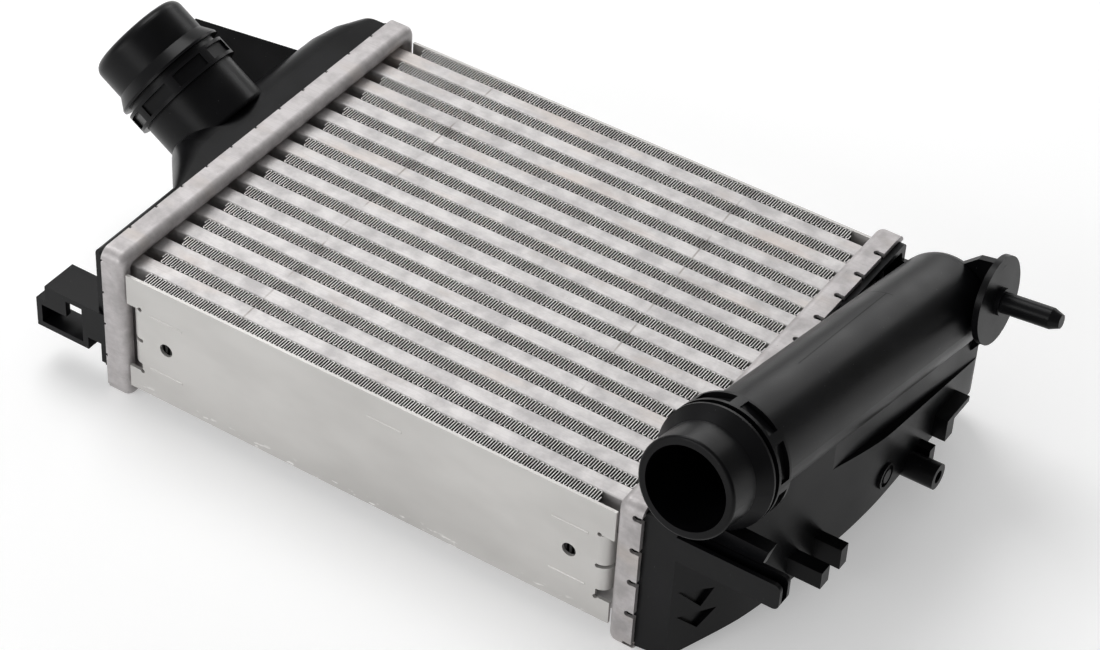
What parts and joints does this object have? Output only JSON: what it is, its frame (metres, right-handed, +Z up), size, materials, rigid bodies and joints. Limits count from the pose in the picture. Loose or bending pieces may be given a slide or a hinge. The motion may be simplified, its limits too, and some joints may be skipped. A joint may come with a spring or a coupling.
{
  "type": "intercooler",
  "caption": "Air-to-air intercooler: brazed aluminium tube and fin core between two moulded plastic tanks, each with a hose spigot, with a socket bracket and a locating pin.",
  "frame": {"origin": "bottom centre of the whole part's box, the headers' lower edges at Z = 0", "axes": "+X along the tubes from the outlet tank to the inlet tank, +Y from the front side plate to the back one, +Z up through the core's depth"},
  "size_m": [0.4582, 0.2377, 0.1383],
  "materials": {
    "core_aluminium": "satin, lightly mottled by brazing",
    "fin_aluminium": "satin",
    "tank_plastic": "fine moulded texture",
    "seal_rubber": "matte"
  },
  "bodies": {
    "root": {"header_plate_left": "core_aluminium", "header_plate_right": "core_aluminium", "tank_seal_left": "seal_rubber", "tank_seal_right": "seal_rubber", "outlet_tank": "tank_plastic", "inlet_tank": "tank_plastic", "side_plate_front": "core_aluminium", "side_plate_back": "core_aluminium", "tube_01": "core_aluminium", "tube_02": "core_aluminium", "tube_03": "core_aluminium", "tube_04": "core_aluminium", "tube_05": "core_aluminium", "tube_06": "core_aluminium", "tube_07": "core_aluminium", "tube_08": "core_aluminium", "tube_09": "core_aluminium", "tube_10": "core_aluminium", "tube_11": "core_aluminium", "tube_12": "core_aluminium", "tube_13": "core_aluminium", "tube_14": "core_aluminium", "turbulator_01": "fin_aluminium", "turbulator_02": "fin_aluminium", "turbulator_03": "fin_aluminium", "turbulator_04": "fin_aluminium", "turbulator_05": "fin_aluminium", "turbulator_06": "fin_aluminium", "turbulator_07": "fin_aluminium", "turbulator_08": "fin_aluminium", "turbulator_09": "fin_aluminium", "turbulator_10": "fin_aluminium", "turbulator_11": "fin_aluminium", "turbulator_12": "fin_aluminium", "turbulator_13": "fin_aluminium", "turbulator_14": "fin_aluminium", "fin_01": "fin_aluminium", "fin_02": "fin_aluminium", "fin_03": "fin_aluminium", "fin_04": "fin_aluminium", "fin_05": "fin_aluminium", "fin_06": "fin_aluminium", "fin_07": "fin_aluminium", "fin_08": "fin_aluminium", "fin_09": "fin_aluminium", "fin_10": "fin_aluminium", "fin_11": "fin_aluminium", "fin_12": "fin_aluminium", "fin_13": "fin_aluminium", "fin_14": "fin_aluminium", "fin_15": "fin_aluminium"}
  },
  "joints": []
}
